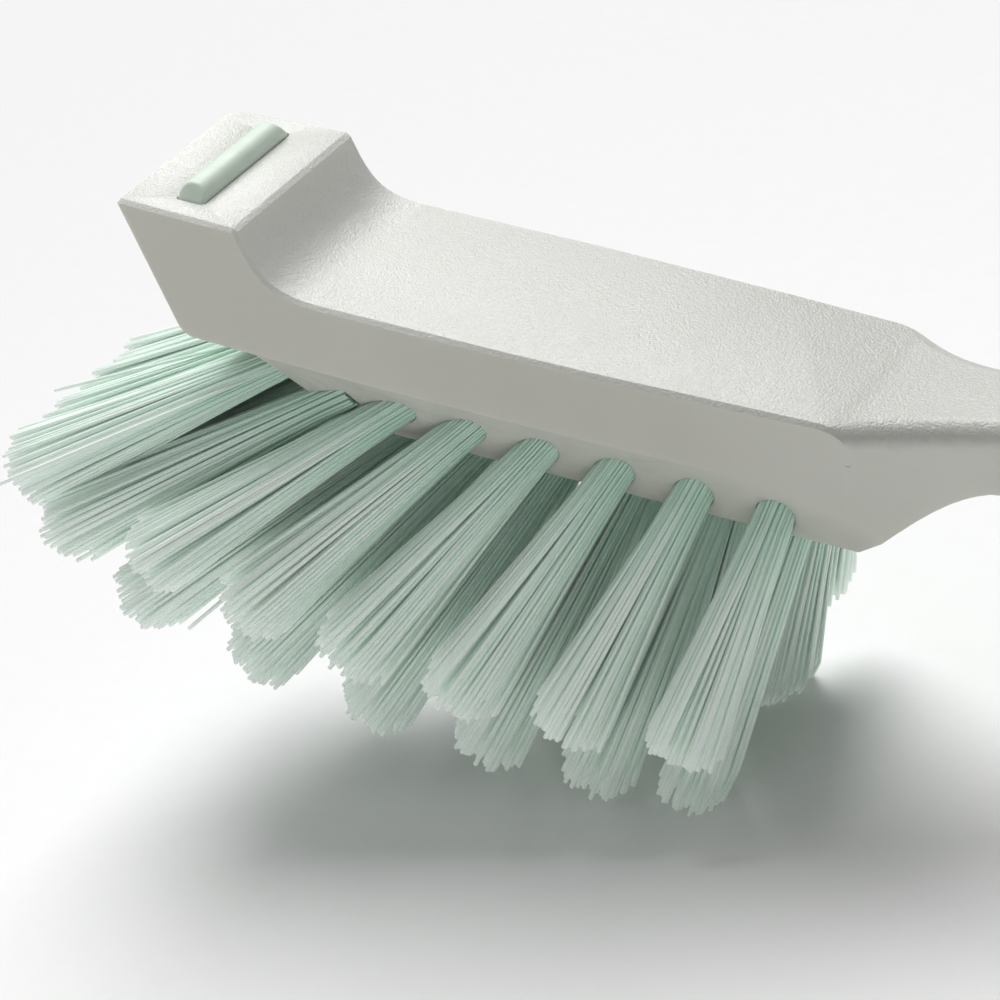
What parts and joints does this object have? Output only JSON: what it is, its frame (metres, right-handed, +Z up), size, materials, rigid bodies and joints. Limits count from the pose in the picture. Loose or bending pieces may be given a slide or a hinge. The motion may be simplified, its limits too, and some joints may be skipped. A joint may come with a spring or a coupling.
{
  "type": "dish-washing brush",
  "caption": "Straight-handled dish-washing brush: raised nose with a soft scraper bar, flat-topped head and splayed tufts of stiff filament that lean towards the nose.",
  "frame": {"origin": "on the table, under the middle of the bounding box of the brush at rest", "axes": "+X from the nose towards the handle's end, +Y towards the right-hand side of a person who holds the handle and looks at the nose, +Z up; the head's own top face leans nose up by 17.3 degrees about Y"},
  "size_m": [0.27, 0.0441, 0.0886],
  "materials": {
    "moulding": "satin, fine spark-eroded grain on the top faces",
    "soft_bar": "matte",
    "filament": "slightly translucent",
    "anchor_metal": "plain"
  },
  "bodies": {
    "root": {"anchors_front_lower": "anchor_metal", "anchors_front_upper": "anchor_metal", "anchors_inner_left": "anchor_metal", "anchors_inner_right": "anchor_metal", "anchors_outer_left": "anchor_metal", "anchors_outer_right": "anchor_metal", "brush_body": "moulding", "nose_pad": "soft_bar", "tuft_front_lower_1": "filament", "tuft_front_lower_2": "filament", "tuft_front_lower_3": "filament", "tuft_front_lower_4": "filament", "tuft_front_upper_1": "filament", "tuft_front_upper_2": "filament", "tuft_front_upper_3": "filament", "tuft_front_upper_4": "filament", "tuft_inner_left_1": "filament", "tuft_inner_left_2": "filament", "tuft_inner_left_3": "filament", "tuft_inner_left_4": "filament", "tuft_inner_left_5": "filament", "tuft_inner_left_6": "filament", "tuft_inner_right_1": "filament", "tuft_inner_right_2": "filament", "tuft_inner_right_3": "filament", "tuft_inner_right_4": "filament", "tuft_inner_right_5": "filament", "tuft_inner_right_6": "filament", "tuft_outer_left_1": "filament", "tuft_outer_left_2": "filament", "tuft_outer_left_3": "filament", "tuft_outer_left_4": "filament", "tuft_outer_left_5": "filament", "tuft_outer_left_6": "filament", "tuft_outer_right_1": "filament", "tuft_outer_right_2": "filament", "tuft_outer_right_3": "filament", "tuft_outer_right_4": "filament", "tuft_outer_right_5": "filament", "tuft_outer_right_6": "filament"}
  },
  "joints": []
}
